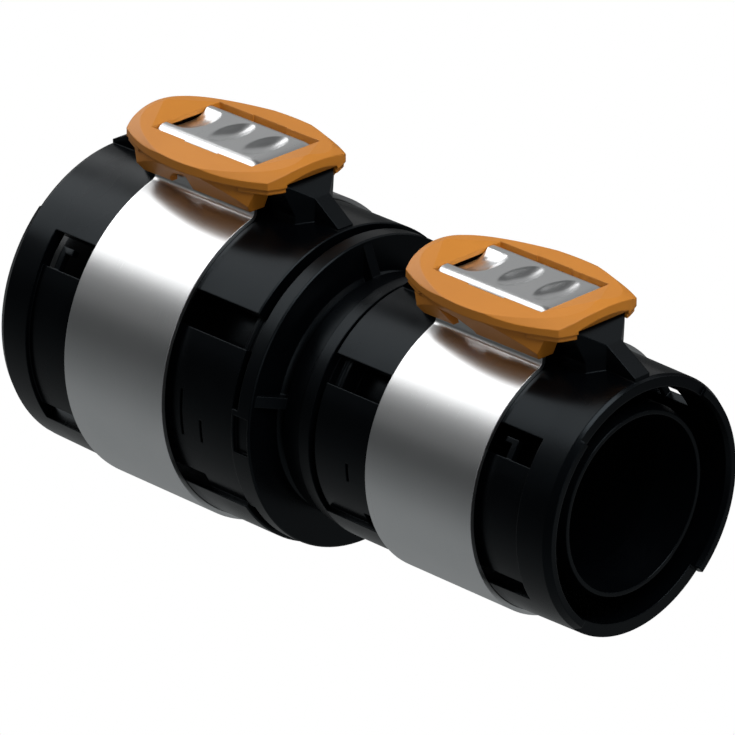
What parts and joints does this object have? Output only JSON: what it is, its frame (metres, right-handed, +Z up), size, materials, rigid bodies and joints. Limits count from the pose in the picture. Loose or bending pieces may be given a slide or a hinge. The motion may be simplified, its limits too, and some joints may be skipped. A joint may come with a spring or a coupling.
{
  "type": "pipe reducer",
  "caption": "Press reducing coupling that joins two plastic pipes of different size, with slotted holder sleeves, steel clamp bands and orange press indicators.",
  "frame": {"origin": "on the common axis of both pipes, at the shoulder where the large pipe stops", "axes": "+X along the pipes and out of the small socket, +Z up through the ears of the clamp bands"},
  "size_m": [0.1563, 0.0724, 0.0845],
  "materials": {
    "black_plastic": "satin moulded black",
    "steel_band": "bright rolled stainless sheet",
    "orange_plastic": "matt moulded orange",
    "seal_rubber": "black EPDM"
  },
  "bodies": {
    "root": {"fitting_body": "black_plastic", "large_holder_sleeve": "black_plastic", "small_holder_sleeve": "black_plastic", "large_clamp_band": "steel_band", "small_clamp_band": "steel_band", "large_press_indicator": "orange_plastic", "small_press_indicator": "orange_plastic", "large_inner_seal": "seal_rubber", "large_outer_seal": "seal_rubber", "small_inner_seal": "seal_rubber", "small_outer_seal": "seal_rubber"}
  },
  "joints": []
}
